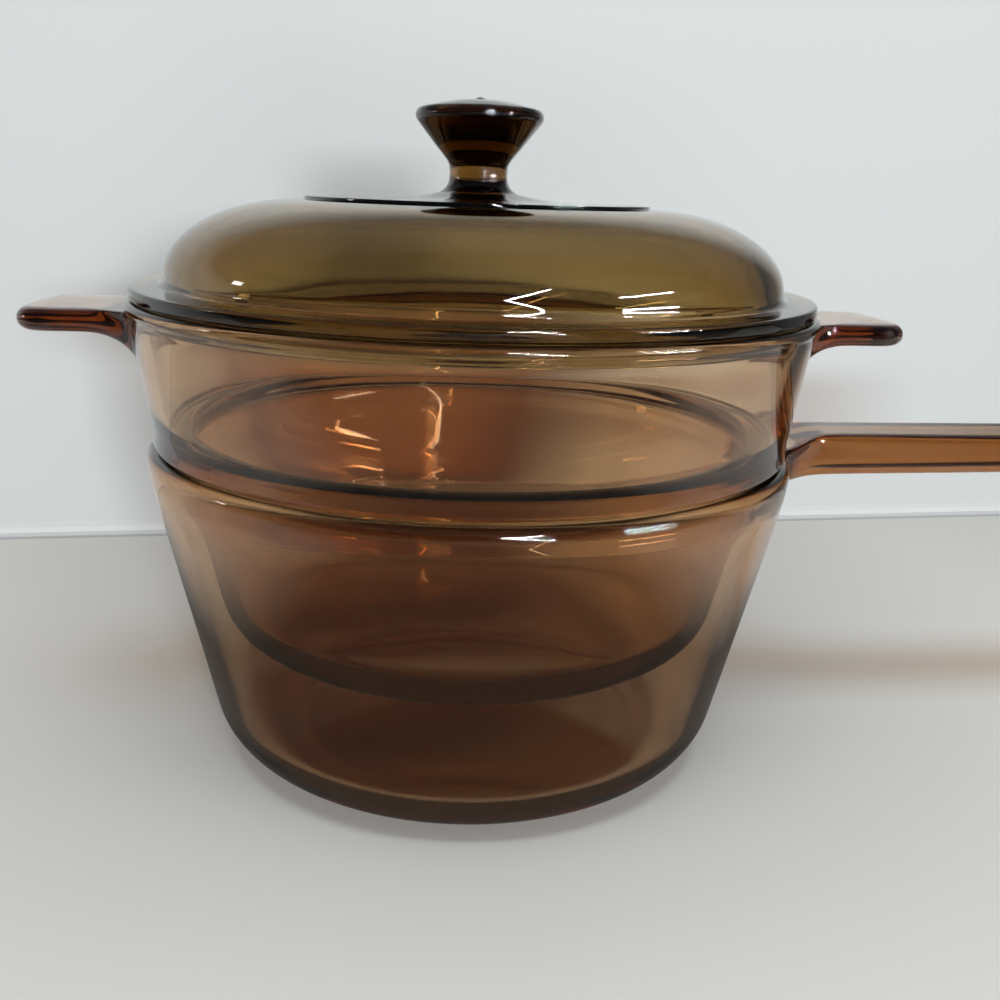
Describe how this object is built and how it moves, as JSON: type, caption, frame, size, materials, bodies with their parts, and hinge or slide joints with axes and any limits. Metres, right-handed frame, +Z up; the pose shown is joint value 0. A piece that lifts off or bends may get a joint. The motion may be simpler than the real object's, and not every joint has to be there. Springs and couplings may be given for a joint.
{
  "type": "double boiler",
  "caption": "Glass double boiler: a tapered saucepan with a long side handle, an upper pan whose bowl hangs inside it, and a domed lid with a moulded knob.",
  "frame": {"origin": "centre of the saucepan's base, on the surface it stands on and on the axis of all three pieces", "axes": "+Z up along the pans' axis, +X out along the saucepan's long handle, +Y to its left"},
  "size_m": [0.3497, 0.1858, 0.1796],
  "materials": {
    "amber_glass_ceramic": "clear reddish-brown glass-ceramic, pressed and fire polished",
    "smoky_lid_glass": "clear olive-brown soda-lime glass, pressed and fire polished"
  },
  "bodies": {
    "saucepan": {"saucepan": "amber_glass_ceramic"},
    "upper_pan": {"upper_pan": "amber_glass_ceramic"},
    "lid": {"lid": "smoky_lid_glass"}
  },
  "joints": [
    {"name": "upper_pan_lift", "type": "slide", "parent": "saucepan", "child": "upper_pan", "axis": [0, 0, 1], "range_m": [0, 0.09]},
    {"name": "lid_lift", "type": "slide", "parent": "upper_pan", "child": "lid", "axis": [0, 0, 1], "range_m": [0, 0.06]}
  ]
}
